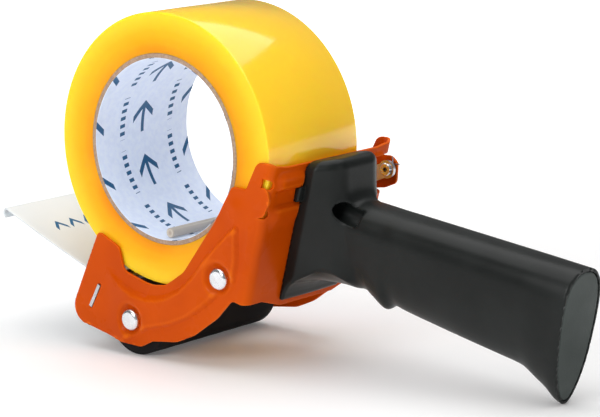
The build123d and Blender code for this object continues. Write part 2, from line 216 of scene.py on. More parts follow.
def add_piece(name, points, faces, material, body, replaced=(), sharp=35):
    """A mesh object in the row frame, riding on a CAD body."""
    mesh = bpy.data.meshes.new(name)
    mesh.from_pydata((np.asarray(points, float) * MM).tolist(), [], [tuple(map(int, f)) for f in faces])
    mesh.validate()
    mesh.update()
    piece = placed(name, mesh)
    mesh.materials.append(material)
    if body:
        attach(piece, body)
    if replaced:
        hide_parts(*replaced)
    shade(mesh, sharp)
    return piece


def shade(mesh, sharp):
    """Smooth shading that stays crisp at edges sharper than the given angle."""
    mesh.shade_smooth()
    mesh.set_sharp_from_angle(angle=math.radians(sharp))


def welded(points, faces, distance):
    """Points and triangles with close points joined and every face turned the same way."""
    work = bmesh.new()
    made = [work.verts.new(p) for p in points]
    for face in faces:
        work.faces.new([made[k] for k in face])
    bmesh.ops.remove_doubles(work, verts=work.verts, dist=distance)
    bmesh.ops.recalc_face_normals(work, faces=work.faces)
    work.verts.index_update()
    points = np.array([tuple(v.co) for v in work.verts])
    faces = np.array([[v.index for v in f.verts] for f in work.faces])
    work.free()
    return points, faces


def thickened(points, faces, thickness, edge):
    """A sheet of triangles made into a closed shell, with a rounded rim along its open edges."""
    corner = points[faces]
    facing = np.cross(corner[:, 1] - corner[:, 0], corner[:, 2] - corner[:, 0])
    normal = np.zeros_like(points)
    for k in range(3):
        np.add.at(normal, faces[:, k], facing)
    normal /= np.maximum(np.linalg.norm(normal, axis=1), 1e-9)[:, None]
    facing /= np.maximum(np.linalg.norm(facing, axis=1), 1e-9)[:, None]
    known = {}
    for number, face in enumerate(faces.tolist()):
        for k in range(3):
            known[(face[k], face[(k + 1) % 3])] = number
    rim = [(a, b, n) for (a, b), n in known.items() if (b, a) not in known]
    outward = np.zeros_like(points)
    for a, b, number in rim:
        away = np.cross(points[b] - points[a], facing[number])
        away /= max(np.linalg.norm(away), 1e-9)
        outward[a] += away
        outward[b] += away
    outward /= np.maximum(np.linalg.norm(outward, axis=1), 1e-9)[:, None]
    on_rim = np.linalg.norm(outward, axis=1) > 0.5
    half = thickness / 2
    front = points + normal * half - outward * edge
    back = points - normal * half - outward * edge
    near = 0.3 * edge
    rows = [(near, half - near), (0, half - edge), (0, edge - half), (near, near - half)]
    order = np.cumsum(on_rim) - 1
    count, rim_count = len(points), int(on_rim.sum())
    rings = [points[on_rim] + normal[on_rim] * height - outward[on_rim] * inset for inset, height in rows]

    def at(row, k):
        if row == 0:
            return k
        if row == len(rows) + 1:
            return count + k
        return 2 * count + (row - 1) * rim_count + int(order[k])

    sides = [(at(row, b), at(row, a), at(row + 1, a), at(row + 1, b))
             for a, b, n in rim for row in range(len(rows) + 1)]
    skins = faces.tolist() + (faces[:, ::-1] + count).tolist()
    return np.concatenate([front, back] + rings), skins + sides


def turned(name, profile, xz, material, body, replaced=(), segments=160, closed=True, sharp=35):
    """A piece turned about an axis along Y: profile is (radius, y) corners, going round the section."""
    angles = np.linspace(0, 2 * math.pi, segments, endpoint=False)
    profile = np.array(profile, float)
    count = len(profile)
    rings = [np.column_stack([xz[0] + r * np.cos(angles), np.full(segments, y), xz[1] + r * np.sin(angles)])
             for r, y in profile]
    points = np.concatenate(rings)
    faces = []
    for i in range(count if closed else count - 1):
        j = (i + 1) % count
        for k in range(segments):
            n = (k + 1) % segments
            faces.append((i * segments + k, i * segments + n, j * segments + n, j * segments + k))
    return add_piece(name, points, faces, material, body, replaced, sharp)


# ---- Materials ----
def srgb(r, g, b):
    """A screen colour of 0 to 255 as a linear colour."""
    linear = [c / 255 / 12.92 if c <= 10 else ((c / 255 + 0.055) / 1.055) ** 2.4 for c in (r, g, b)]
    return tuple(linear) + (1.0,)


class Finish:
    """A node material that is built up from a few calls."""

    def __init__(self, name, **sockets):
        self.material = bpy.data.materials.new(name)
        self.material.use_nodes = True
        self.tree = self.material.node_tree
        self.shader = self.tree.nodes["Principled BSDF"]
        for key, value in sockets.items():
            self.shader.inputs[key.replace("_", " ")].default_value = value

    def node(self, kind, inputs=None, **settings):
        """A node with its inputs set or linked."""
        made = self.tree.nodes.new(kind)
        for key, value in settings.items():
            setattr(made, key, value)
        for key, value in (inputs or {}).items():
            if isinstance(value, bpy.types.NodeSocket):
                self.tree.links.new(value, made.inputs[key])
            else:
                made.inputs[key].default_value = value
        return made

    def place(self):
        """Position in the object's own space, in metres."""
        return self.node("ShaderNodeTexCoord").outputs["Object"]

    def noise(self, scale, detail=3.0, rough=0.5, where=None, stretch=None):
        where = where or self.place()
        if stretch:
            where = self.node("ShaderNodeMapping", {"Vector": where, "Scale": stretch}).outputs[0]
        return self.node("ShaderNodeTexNoise", {"Vector": where, "Scale": scale, "Detail": detail,
                                                "Roughness": rough}).outputs[0]

    def math(self, operation, a, b=0.0, c=0.0):
        return self.node("ShaderNodeMath", {0: a, 1: b, 2: c}, operation=operation).outputs[0]

    def between(self, value, low, high, to_low=0.0, to_high=1.0):
        """Value spread smoothly from one range to another."""
        ends = {"Value": value, "From Min": low, "From Max": high, "To Min": to_low, "To Max": to_high}
        return self.node("ShaderNodeMapRange", ends, interpolation_type="SMOOTHSTEP").outputs[0]

    def times(self, a, b):
        return self.math("MULTIPLY", a, b)

    def cells(self, value, pitch, shift=0.0):
        """Distance from the middle of the cell that a value falls in, with cells one pitch apart."""
        share = self.math("FRACT", self.math("ADD", self.math("DIVIDE", value, pitch), shift))
        return self.times(self.math("SUBTRACT", share, 0.5), pitch)

    def near(self, value, middle, reach):
        """1 where a value lies within reach of the middle, and 0 elsewhere."""
        return self.math("LESS_THAN", self.math("ABSOLUTE", self.math("SUBTRACT", value, middle)), reach)

    def mix(self, share, a, b):
        """Colour a turning into colour b."""
        return self.node("ShaderNodeMix", {0: share, 6: a, 7: b}, data_type="RGBA").outputs[2]

    def link(self, socket, value):
        self.tree.links.new(value, self.shader.inputs[socket])

    def bump(self, height, strength, distance, under=None):
        inputs = {"Height": height, "Strength": strength, "Distance": distance}
        if under is not None:
            inputs["Normal"] = under
        return self.node("ShaderNodeBump", inputs).outputs[0]

    def convex_edges(self):
        """High on convex edges, from the shape itself."""
        return self.node("ShaderNodeNewGeometry").outputs["Pointiness"]


def painted_steel():
    """Orange gloss enamel with a slight orange peel, lighter on its convex edges as worn paint and as a
    painted highlight along the pressed ridges.
    """
    f = Finish("painted_steel", Roughness=0.36, Coat_Weight=0.05, Coat_Roughness=0.12,
               Specular_IOR_Level=0.05)
    tone = f.mix(f.between(f.noise(22, 4), 0.3, 0.7), srgb(194, 70, 0), srgb(208, 80, 0))
    # Lighter orange on convex edges: partly worn paint, partly a painted highlight on the ridges of the
    # pressing
    tone = f.mix(f.between(f.convex_edges(), 0.51, 0.57, 0.0, 0.4), tone, srgb(250, 132, 30))
    f.link("Base Color", tone)
    f.link("Roughness", f.between(f.noise(60, 3), 0.3, 0.75, 0.24, 0.4))
    peel = f.bump(f.noise(900, 2), 0.12, 0.0002)
    f.link("Normal", f.bump(f.noise(90, 2), 0.1, 0.0006, peel))
    return f.material


def metal(name, colour, roughness, brush=(1.0, 1.0, 1.0), dark=0.75, grain_scale=500.0):
    """Bare or plated metal with a brushed grain and faint staining."""
    f = Finish(name, Metallic=1.0, Roughness=roughness)
    dull = tuple(c * dark for c in colour[:3]) + (1.0,)
    f.link("Base Color", f.mix(f.between(f.noise(120, 4), 0.35, 0.8), colour, dull))
    grain = f.noise(grain_scale, 3, 0.6, stretch=brush)
    f.link("Roughness", f.between(grain, 0.2, 0.8, roughness * 0.7, roughness * 1.5))
    f.link("Normal", f.bump(grain, 0.15, 0.0001))
    return f.material


def moulded(name, dark, light, roughness, grain=1400.0, shine=0.5, grain_strength=0.25):
    """Moulded plastic or rubber with a fine grained skin and handled patches."""
    f = Finish(name, Roughness=roughness, Specular_IOR_Level=shine)
    tone = f.mix(f.between(f.noise(35, 5), 0.3, 0.7), dark, light)
    rubbed = tuple(min(1, 2.2 * c) for c in light[:3]) + (1.0,)
    tone = f.mix(f.between(f.convex_edges(), 0.53, 0.62, 0.0, 0.35), tone, rubbed)
    f.link("Base Color", tone)
    f.link("Roughness", f.between(f.noise(28, 4), 0.3, 0.72, roughness * 0.85, roughness * 1.2))
    skin = f.bump(f.noise(grain, 2), grain_strength, 0.00015)
    f.link("Normal", f.bump(f.noise(60, 2), 0.06, 0.0006, skin))
    return f.material


def from_axis(f, xz):
    """Distance from the roll's axis, angle round it and position along it, in millimetres and radians."""
    parts = f.node("ShaderNodeSeparateXYZ", {0: f.place()}).outputs
    dx = f.math("SUBTRACT", parts[0], xz[0] * MM)
    dz = f.math("SUBTRACT", parts[2], xz[1] * MM)
    radius = f.math("SQRT", f.math("ADD", f.times(dx, dx), f.times(dz, dz)))
    turn = f.math("ARCTAN2", dz, dx)
    return f.math("DIVIDE", radius, MM), turn, f.math("DIVIDE", parts[1], MM)


def tape_film():
    """Stacked amber film with fine layer lines on its faces; painted shade makes it deep orange near the
    core, painted light makes it paler outward, and it has a faint painted orange glow.
    """
    # The orange emission is a painted glow, standing in for light passing through the film
    f = Finish("tape_film", Roughness=0.2, IOR=1.48, Coat_Roughness=0.06,
               Subsurface_Weight=0.75, Subsurface_Scale=0.008, Subsurface_Radius=(1.0, 0.5, 0.08),
               Emission_Color=srgb(255, 160, 0), Emission_Strength=0.1)
    radius, turn, y = from_axis(f, roll_xz)
    # Painted shade and light: deep orange near the core, paler toward the outer layers
    shaded_core_tone = f.mix(f.between(radius, core_radius, core_radius + 8), srgb(238, 140, 2), srgb(252, 172, 6))
    lit_outer_tone = f.mix(f.between(radius, core_radius + 6, roll_radius - 0.4), shaded_core_tone, srgb(255, 206, 44))
    cloud = f.between(f.noise(30, 3), 0.3, 0.75, 0.0, 0.28)
    f.link("Base Color", f.mix(cloud, lit_outer_tone, srgb(255, 204, 40)))
    layers = f.node("ShaderNodeCombineXYZ", {0: f.times(radius, 9.0), 1: f.times(turn, 0.6)})
    rings = f.noise(1.0, 3, 0.7, where=layers.outputs[0])
    around = f.node("ShaderNodeCombineXYZ", {0: f.times(y, 0.5), 1: f.times(turn, 1.5)})
    ripple = f.noise(1.0, 2, 0.5, where=around.outputs[0])
    face = f.math("LESS_THAN", radius, roll_radius - 0.35)
    f.link("Coat Weight", f.math("MULTIPLY_ADD", face, -0.3, 0.32))
    f.link("Specular IOR Level", f.math("MULTIPLY_ADD", face, -0.25, 0.4))
    f.link("Roughness", f.math("MULTIPLY_ADD", face, 0.22, f.between(ripple, 0.3, 0.7, 0.1, 0.2)))
    height = f.math("ADD", f.times(rings, face), f.times(ripple, 0.35))
    f.link("Normal", f.bump(height, 0.25, 0.0002))
    return f.material


def core_card():
    """Spiral-wound brown board, with its plies showing at the ends."""
    f = Finish("core_card", Roughness=0.85)
    radius = from_axis(f, roll_xz)[0]
    plies = f.math("SINE", f.times(radius, 13.0))
    fibre = f.noise(700, 4, 0.7)
    tone = f.mix(f.between(plies, -0.6, 0.8), srgb(134, 104, 84), srgb(182, 152, 128))
    f.link("Base Color", f.mix(f.between(fibre, 0.35, 0.7, 0.0, 0.45), tone, srgb(206, 182, 160)))
    f.link("Normal", f.bump(f.math("ADD", fibre, plies), 0.35, 0.0002))
    return f.material


def core_paper(bore):
    """White paper lining, printed with blue arrows and a row of short bars, with a faint painted glow on the
    paper that brightens the shaded bore.
    """
    # The bluish emission is painted light on the paper
    f = Finish("core_paper", Roughness=0.45, Emission_Color=(0.82, 0.9, 1.0, 1.0))
    turn, y = from_axis(f, roll_xz)[1:]
    arrow_pitch, row_pitch, bar_pitch = 24.0, 30.0, 3.4
    arrow_y, arrow_half, head_at, head_width = -3.0, 6.0, 3.2, 1.5
    stem_at, stem_half, stem_width = -3.0, 6.5, 0.9
    bar_y, bar_half, bar_width, bars_half = 9.5, 1.5, 0.24, 9.6
    slant = f.math("ADD", f.times(turn, bore), f.times(y, 0.18))
    along = f.cells(slant, arrow_pitch)
    across = f.cells(y, row_pitch, 0.08)
    lift = f.math("SUBTRACT", across, arrow_y)
    shoulder = f.math("ADD", along, f.math("ABSOLUTE", lift))
    arrow = f.times(f.near(shoulder, head_at, head_width), f.near(lift, 0.0, arrow_half))
    stem = f.times(f.near(lift, 0.0, stem_width), f.near(along, stem_at, stem_half))
    tick = f.math("FRACT", f.math("DIVIDE", slant, bar_pitch))
    bars = f.times(f.near(tick, 0.5, bar_width), f.near(across, bar_y, bar_half))
    bars = f.times(bars, f.near(along, 0.0, bars_half))
    mark = f.math("MAXIMUM", f.math("MAXIMUM", arrow, stem), bars)
    fibre = f.noise(400, 3)
    paper = f.mix(f.between(fibre, 0.3, 0.7), srgb(206, 215, 232), srgb(216, 224, 240))
    f.link("Base Color", f.mix(mark, paper, srgb(28, 92, 134)))
    f.link("Roughness", f.between(fibre, 0.3, 0.7, 0.38, 0.55))
    # Painted glow on the paper only; the printed marks do not glow
    f.link("Emission Strength", f.between(mark, 0.0, 1.0, 0.16, 0.0))
    f.link("Normal", f.bump(fibre, 0.1, 0.0001))
    return f.material


def milky_sheet(start, along):
    """Milky plastic with a soft scuff and a row of blue direction marks."""
    f = Finish("flap_plastic", Roughness=0.4, IOR=1.46, Specular_IOR_Level=0.25)
    rest = f.node("ShaderNodeAttribute", attribute_name="rest").outputs["Vector"]
    away = f.node("ShaderNodeVectorMath", {0: rest, 1: tuple(start)}, operation="SUBTRACT").outputs[0]
    run = f.node("ShaderNodeVectorMath", {0: away, 1: tuple(along)}, operation="DOT_PRODUCT").outputs["Value"]
    y = f.node("ShaderNodeSeparateXYZ", {0: rest}).outputs[1]
    pitch, half_mark, stroke, slope, place = 9.0, 3.4, 1.3, 1.4, 46.0
    aside = f.math("ABSOLUTE", f.cells(f.math("DIVIDE", y, MM), pitch))
    tip = f.math("ADD", f.math("DIVIDE", run, MM), f.times(aside, slope))
    marks = f.times(f.near(tip, place, stroke), f.math("LESS_THAN", aside, half_mark))
    marks = f.times(marks, f.near(y, 0.0, 3 * pitch * MM))
    scuff = f.noise(25, 2, where=rest)
    sheet = f.mix(f.between(scuff, 0.3, 0.7), srgb(216, 221, 224), srgb(224, 229, 232))
    f.link("Base Color", f.mix(marks, sheet, srgb(36, 96, 140)))
    f.link("Roughness", f.between(f.noise(40, 2, where=rest), 0.3, 0.7, 0.36, 0.46))
    f.link("Normal", f.bump(f.noise(20, 1, where=rest), 0.05, 0.0004))
    return f.material


orange = painted_steel()
chrome = metal("plated_steel", srgb(232, 234, 238), 0.22)
bracket_metal = metal("bracket_steel", srgb(205, 208, 212), 0.28, brush=(1.0, 0.05, 1.0))
lever_metal = metal("lever_steel", srgb(214, 216, 220), 0.3, grain_scale=90.0)
blade_metal = metal("blade_steel", srgb(188, 192, 198), 0.22, brush=(1.0, 0.05, 1.0))
spring_metal = metal("spring_steel", srgb(150, 152, 158), 0.25)
screw_metal = metal("screw_steel", srgb(200, 200, 196), 0.3)
rubber = moulded("roller_rubber", srgb(18, 18, 19), srgb(30, 30, 31), 0.7, grain=900.0, shine=0.12)
dark_plastic = moulded("dark_plastic", srgb(26, 27, 29), srgb(38, 39, 41), 0.4)
white_plastic = moulded("white_plastic", srgb(222, 222, 216), srgb(234, 234, 230), 0.4)
sleeve_plastic = moulded("sleeve_plastic", srgb(170, 154, 140), srgb(196, 182, 168), 0.4)
handle_plastic = moulded("handle_plastic", srgb(19, 22, 21), srgb(29, 32, 31), 0.36, shine=0.2)
cap_plastic = moulded("cap_plastic", srgb(64, 70, 68), srgb(76, 82, 80), 0.55, grain_strength=0.35,
                      shine=0.15)
film = tape_film()
card = core_card()


# ---- Sheet-metal frame ----
# Side plate outline in x, z with corner radii
PLATE = [(98.7, 12.9, 7.5), (79.9, 52.2, 1.6), (68.3, 46.8, 3), (65.7, 36.8, 4), (50.6, 32.3, 20),
         (42, 33.3, 12), (31.8, 40, 12), (13.4, 63.9, 50), (4, 79, 1.8),
         (-3.4, 78.6, 1.5), (-9.6, 90.2, 4), (-45, 90, 1), (-45, 30, 1), (1, 30, 2),
         (5.6, 31.4, 3.5), (14, 22.6, 20), (27, 13.6, 20), (36.5, 9.6, 12), (50.5, 8, 5),
         (57, 4.7, 5), (64.5, 5, 8)]
FAR_LUG = [(-6, 67.5), (-13.4, 68.4), (-19.4, 70.8), (-20.2, 79.6), (-17, 82.4), (-6, 82.4)]
NEAR_LUG = [(-6, 67.5), (-11.6, 67.5), (-15.6, 74.2), (-14.4, 79.9), (-6, 79.9)]
LUG_CORNER = 2.5
LUG_ROOT = 0.4
PIVOT_HOLE = 1.55
# Spacing of the points that fill the sheet
GRID = 0.9
# Heights up the web: its top edge, and a level between the two ends of a bend
WEB_TOP = 60.0
MID_WEB = 40.0
# The lower edge of the web dips in the middle: distance across, height up the web
LIP = [(-30, 0.4), (-17, -3.6), (17, -3.6), (30, 0.4)]
# How far in from its rim, and from the bend, the top edge takes to come down to WEB_TOP
CREST = (9.0, 8.0)
# Round reliefs and the shear line between them, at the near lug
RELIEF = 1.9
RELIEF_Y = 37.2
RELIEF_Z = (68.6, 80.8)
SHEAR_Y = 40.3
FAR_WINDOW_Y = 26.0
FAR_WINDOW_Z = (66.5, 83.6)
# Panels raised either side of a groove: distances across, and heights z
PANEL_ACROSS = (17, 21, 32, 37)
PANEL_Z = (60, 68, 82, 86)
GROOVE = (71.5, 78.3)
GROOVE_EDGE = 0.9
GROOVE_RAISE = 2.0
# The web stands a little further back beside the lugs
BY_LUG_ACROSS = (33, 36, 39.8, 41.2)
BY_LUG_Z = (65, 69, 80, 84)
LUG_CLEARANCE = 0.4
# Slot for the tab of the blade bracket
BRACKET_XZ = (83.05, 23.75)
BRACKET_ANGLE = math.radians(60.8)
SLOT_HALF = 6.35
SLOT_RADIUS = 0.9
# Pressed shapes of the side plates, in x, z
BAND = [(82, 44), (75.7, 37.9), (72, 34), (65.4, 29.8), (59.8, 27.6), (52.3, 26.5), (46.5, 27),
        (40.9, 28.6), (33.4, 32.4), (25.8, 39), (20.2, 46), (13.7, 52.3), (5.4, 60.1), (1.6, 62.5),
        (2, 57.1), (2.2, 48.1), (4.2, 39.6), (8, 36.4), (13.4, 32.9), (20.8, 27), (30.1, 20.9),
        (40.5, 16.6), (52.8, 13.5), (60.5, 9.6), (70, 4), (100, 0)]
BAND_RISE = 1.8
BAND_EDGE = 0.7
# The band fades out forward between these x
BAND_FADE = (60, 78)
# A rib's line, height and width
RIBS = [([(-5.2, 62.0), (-2.2, 47.3), (1.8, 30.9)], 0.6, 1.1)]
# A boss by the lug: place, height and width
KNUCKLE, KNUCKLE_RISE, KNUCKLE_WIDTH = (1.5, 68.5), 0.9, 5.5
# Round each rivet the plate is flat within COLLAR, but for a shallow recess and a low ring
COLLAR = (6.2, 8.0)
RECESS, RECESS_DEPTH = (4.4, 5.0, 5.3, 6.2), 0.5
RING, RING_RISE, RING_WIDTH = 6.8, 0.4, 0.7


def web_height(z):
    """Distance up the web of a point at height z on its outer face."""
    return (z - WEB_FOOT[1]) / math.cos(LEAN)


def to_web(points):
    """x, z turned into distance forward of the web and distance up it."""
    p = np.asarray(points, float) - WEB_FOOT
    return np.column_stack([p[:, 0] * math.cos(LEAN) + p[:, 1] * math.sin(LEAN),
                            -p[:, 0] * math.sin(LEAN) + p[:, 1] * math.cos(LEAN)])


def from_web(forward, up):
    """The way back: x and z."""
    return (WEB_FOOT[0] + forward * math.cos(LEAN) - up * math.sin(LEAN),
            WEB_FOOT[1] + forward * math.sin(LEAN) + up * math.cos(LEAN))


def pressed(x, z, forward):
    """How far the pressing pushes a side plate outward at each point."""
    edge = off_line(x, z, BAND + BAND[:1]) * np.where(within(x, z, BAND), 1, -1)
    rise = BAND_RISE * smooth_step(edge, -BAND_EDGE, BAND_EDGE) * (1 - smooth_step(x, *BAND_FADE))
    for line, height, width in RIBS:
        rise += height * np.exp(-(off_line(x, z, line) / width) ** 2)
    rise += KNUCKLE_RISE * np.exp(-((x - KNUCKLE[0]) ** 2 + (z - KNUCKLE[1]) ** 2) / KNUCKLE_WIDTH ** 2)
    for cx, cz in (roller_xz, tie_xz):
        away = np.hypot(x - cx, z - cz)
        rise = rise * smooth_step(away, *COLLAR)
        rise -= RECESS_DEPTH * plateau(away, *RECESS)
        rise += RING_RISE * np.exp(-((away - RING) / RING_WIDTH) ** 2)
    return rise * smooth_step(forward, BEND, BEND + 1.6)


def plate_edges():
    """The side plate outline forward of the bend, and where the bend's two ends are cut."""
    line = to_web(rounded(PLATE, GRID))
    ahead = line[:, 0] >= BEND
    first = [i for i in range(len(line)) if ahead[i] and not ahead[i - 1]][0]
    front = [line[(first + k) % len(line)] for k in range(int(ahead.sum()))]

    def at_bend(a, b):
        share = (BEND - a[0]) / (b[0] - a[0])
        return np.array((BEND, a[1] + (b[1] - a[1]) * share))

    low = at_bend(line[first - 1], line[first])
    last = (first + len(front)) % len(line)
    high = at_bend(line[last - 1], line[last])
    behind = [line[(last + k) % len(line)] for k in range(len(line) - len(front))]
    top = np.array([high] + [p for p in behind if p[1] > MID_WEB])
    bottom = np.array([low] + [p for p in behind[::-1] if p[1] <= MID_WEB])
    return [low] + front + [high], bottom, top


def far_notch(rim):
    """The far window, which the arm swings through: its open side is the outer edge of the web."""
    low, high = web_height(FAR_WINDOW_Z[0]), web_height(FAR_WINDOW_Z[1])
    corner = 0.8
    corners = [(rim, low, 0), (FAR_WINDOW_Y, low, corner), (FAR_WINDOW_Y, high, corner), (rim, high, 0)]
    return [(-p[0], p[1]) for p in rounded(corners, GRID)][::-1]


def near_notch(rim):
    """Two round reliefs in the near bend and the shear line between them."""
    marks = [web_height(z + side * RELIEF) for z in RELIEF_Z for side in (-1, 1)]
    bow, corner = RELIEF - 0.1, 0.4
    corners = [(rim, marks[0], 0), (RELIEF_Y, marks[0], bow), (RELIEF_Y, marks[1], bow),
               (SHEAR_Y, marks[1], corner), (SHEAR_Y, marks[2], corner), (RELIEF_Y, marks[2], bow),
               (RELIEF_Y, marks[3], bow), (rim, marks[3], 0)]
    return [tuple(p) for p in rounded(corners, GRID / 2)]


def build_frame():
    """One folded sheet: two pressed side plates, two bends, the web, and lugs that run straight on."""
    middle = SHEET / 2
    turn_radius = BEND - middle
    flat = half_width - BEND
    rim = flat + turn_radius * math.pi / 2
    front, bottom, top = plate_edges()
    near_cut = (web_height(RELIEF_Z[0] - RELIEF), web_height(RELIEF_Z[1] + RELIEF))
    far_cut = (web_height(FAR_WINDOW_Z[0]), web_height(FAR_WINDOW_Z[1]))
    down = np.array((math.cos(BRACKET_ANGLE), -math.sin(BRACKET_ANGLE)))
    across = np.array((math.sin(BRACKET_ANGLE), math.cos(BRACKET_ANGLE)))
    slot_hole = [np.array(BRACKET_XZ) + s * ((SLOT_HALF - SLOT_RADIUS) * down
                                             + SLOT_RADIUS * (across * math.cos(t) + down * math.sin(t)))
                 for s in (1, -1) for t in np.linspace(0, math.pi, 9)]
    slot_hole = spaced(list(to_web(slot_hole)), GRID)
    points, faces = [], []

    def add(new_points, new_faces, flip):
        base = sum(len(p) for p in points)
        points.append(new_points)
        faces.extend((np.array(new_faces)[:, ::-1] if flip else np.array(new_faces)) + base)

    for side, cut, corners in ((1, near_cut, NEAR_LUG), (-1, far_cut, FAR_LUG)):
        lug = to_web(corners)
        lug_at = [np.interp(BEND, lug[1::-1, 0], lug[1::-1, 1]), np.interp(BEND, lug[-2:, 0], lug[-2:, 1])]
        tongue = [(BEND, lug_at[1], LUG_ROOT)] + [(p[0], p[1], LUG_CORNER) for p in lug[-2:0:-1]]
        tongue = rounded(tongue + [(BEND, lug_at[0], LUG_ROOT), (BEND + 6, sum(lug_at) / 2, 0)], GRID)[:-1]
        tongue = [p for p in tongue if p[0] <= BEND + 1e-6]
        holes = [slot_hole]
        if side < 0:
            turns = np.linspace(0, 2 * math.pi, 24, endpoint=False)
            pivot_hole = np.column_stack([np.cos(turns), np.sin(turns)]) * PIVOT_HOLE + pivot_xz
            holes.append(to_web(pivot_hole))
        edge = list(front) + [np.array((BEND, cut[1]))] + tongue + [np.array((BEND, cut[0]))]
        edge = spaced(edge, GRID)
        flat_points, flat_faces = filled(edge, holes, GRID)
        x, z = from_web(flat_points[:, 0], flat_points[:, 1])
        y = half_width - middle + pressed(x, z, flat_points[:, 0])
        add(np.column_stack([x, side * y, z]), flat_faces, side < 0)

    def end_run(chain, side):
        """The end of the bend from its outer edge to the web, as distance along the sheet and height."""
        run = []
        for angle in np.linspace(math.pi / 2, 0, 8):
            forward = BEND - turn_radius * math.cos(angle)
            height = np.interp(forward, chain[::-1, 0], chain[::-1, 1])
            run.append((side * (flat + turn_radius * angle), height))
        return run

    outline = LIP + end_run(bottom, 1)[::-1] + near_notch(rim)
    crest = [(s, t - (t - WEB_TOP) * smooth_step(rim - s, 0.0, CREST[0])) for s, t in end_run(top, 1)]
    crest += [(s, WEB_TOP + (crest[-1][1] - WEB_TOP) * (1 - smooth_step(flat - s, 0.0, CREST[1])))
              for s in np.arange(flat - GRID, flat - CREST[0], -GRID)]
    outline += crest + [(-s, t) for s, t in crest[::-1]]
    outline += far_notch(rim) + end_run(bottom, -1)
    sheet_points, sheet_faces = filled(spaced([np.array(p) for p in outline], GRID), [], GRID)
    s, up = sheet_points[:, 0], sheet_points[:, 1]
    angle = np.clip((np.abs(s) - flat) / turn_radius, 0, math.pi / 2)
    forward = BEND - turn_radius * np.cos(angle)
    y = np.sign(s) * (np.minimum(np.abs(s), flat) + turn_radius * np.sin(angle))
    level = WEB_FOOT[1] + up * math.cos(LEAN)
    aside = plateau(np.abs(s), *PANEL_ACROSS)
    in_groove = plateau(level, GROOVE[0] - GROOVE_EDGE, GROOVE[0], GROOVE[1], GROOVE[1] + GROOVE_EDGE)
    raised = plateau(level, *PANEL_Z) * (1 - in_groove)
    by_lug = plateau(np.abs(s), *BY_LUG_ACROSS) * plateau(level, *BY_LUG_Z)
    forward = forward - GROOVE_RAISE * aside * raised - LUG_CLEARANCE * by_lug
    x, z = from_web(forward, up)
    add(np.column_stack([x, y, z]), sheet_faces, False)

    points, faces = welded(np.concatenate(points), faces, 0.02)
    points, faces = thickened(points, faces, SHEET, 0.25)
    add_piece("sheet_frame", points, faces, orange, "frame_body", ["frame"], SHARP)


# ---- Handle, as one smooth field ----
# The block that lies on the web narrows back to a neck: half widths, depth of its straight part
BASE_HALF = 19.0
BASE_DEPTH = 5.0
NECK_X = -31.0
NECK_HALF = 13.0
# Lines x, z along the middle of the grip and under the block
GRIP_TOP = [(-140.3, 55.3), (-31, 71.3)]
GRIP_BELOW = [(-130, 0), (-126.5, 1.8), (-122.4, 5.7), (-117.9, 8.9), (-112.6, 12.7), (-108, 14.3),
              (-102.6, 15.6), (-80.1, 21), (-56.7, 26.9), (-49.7, 28.9), (-45.6, 27.1), (-43.9, 27.2),
              (-41.5, 28.8), (-37.9, 31.8), (-34.9, 33.8), (-24.5, 36.6), (-14, 37.2), (0, 38)]
ARCH = [(-40, 36), (-14, 36.4), (-8.6, 35.2), (-6.2, 33.6), (-4.4, 31), (-3, 28.6), (2, 27.2)]
# The block's underside rises towards its side edges: by how much, where and over what length
SIDE_ARCH = 4.8
SIDE_ARCH_X = -25.0
SIDE_ARCH_SPAN = 12.0
# A point of the block's top face, and its slope
BLOCK_TOP, BLOCK_SLOPE = (-17.4, 87.9), 0.125
BLOCK_EDGE, UNDER_EDGE = 5.0, 1.2
# Width of the grip's section by height, and how square the section is
EGG = (0.95, 0.22, 0.13)
EGG_HIGH, EGG_ACROSS, EGG_ROOT, EGG_REACH = 2.6, 2.2, 0.42, 12.0
GRIP_FILLET = 5.0
END_EDGE = 0.6
END_TOP, END_BOTTOM = (-140.3, 55.3), (-130.0, 0.0)
GRIP_HALF = 13.3
# The end cap sits inside a rim: the rim's width, the seam, and the cap's depth and edge
RIM = 1.3
SEAM = 0.3
CAP = 3.5
CAP_SUNK = 0.25
CAP_EDGE = 0.35
# Screw pockets: distance to each side, radius, edges, and the length of those at each height z
POCKET_Y = 10.6
POCKET = 3.9
POCKET_FLOOR, POCKET_MOUTH = 1.5, 0.7
POCKET_ENDS = {47.0: 7.0, 72.0: 21.5}
# The tab that lies in the groove of the web
TAB_HALF = 22.5
TAB_HEIGHT = 6.4
TAB_DEPTH = 2.5
TAB_EDGE = 0.8
HANDLE_GRID = 0.75
CAP_GRID = 0.5
# The grip's sections lean like its end face
SKEW = (END_BOTTOM[0] - END_TOP[0]) / (END_TOP[1] - END_BOTTOM[1])


def line_at(points, x):
    """Height of a line of points at each x."""
    p = np.array(sorted(tuple(q) for q in points))
    return np.interp(x, p[:, 0], p[:, 1])


def round_all(fields, radius):
    """The part common to several fields, with their meeting edges rounded."""
    worst = fields[0]
    corner = np.maximum(fields[0] + radius, 0) ** 2
    for field in fields[1:]:
        worst = np.maximum(worst, field)
        corner = corner + np.maximum(field + radius, 0) ** 2
    return np.minimum(worst, -radius) + np.sqrt(corner)


def blend_in(a, b, reach):
    """Two fields joined with a fillet."""
    share = np.clip(0.5 + 0.5 * (b - a) / reach, 0, 1)
    return b * (1 - share) + a * share - reach * share * (1 - share)


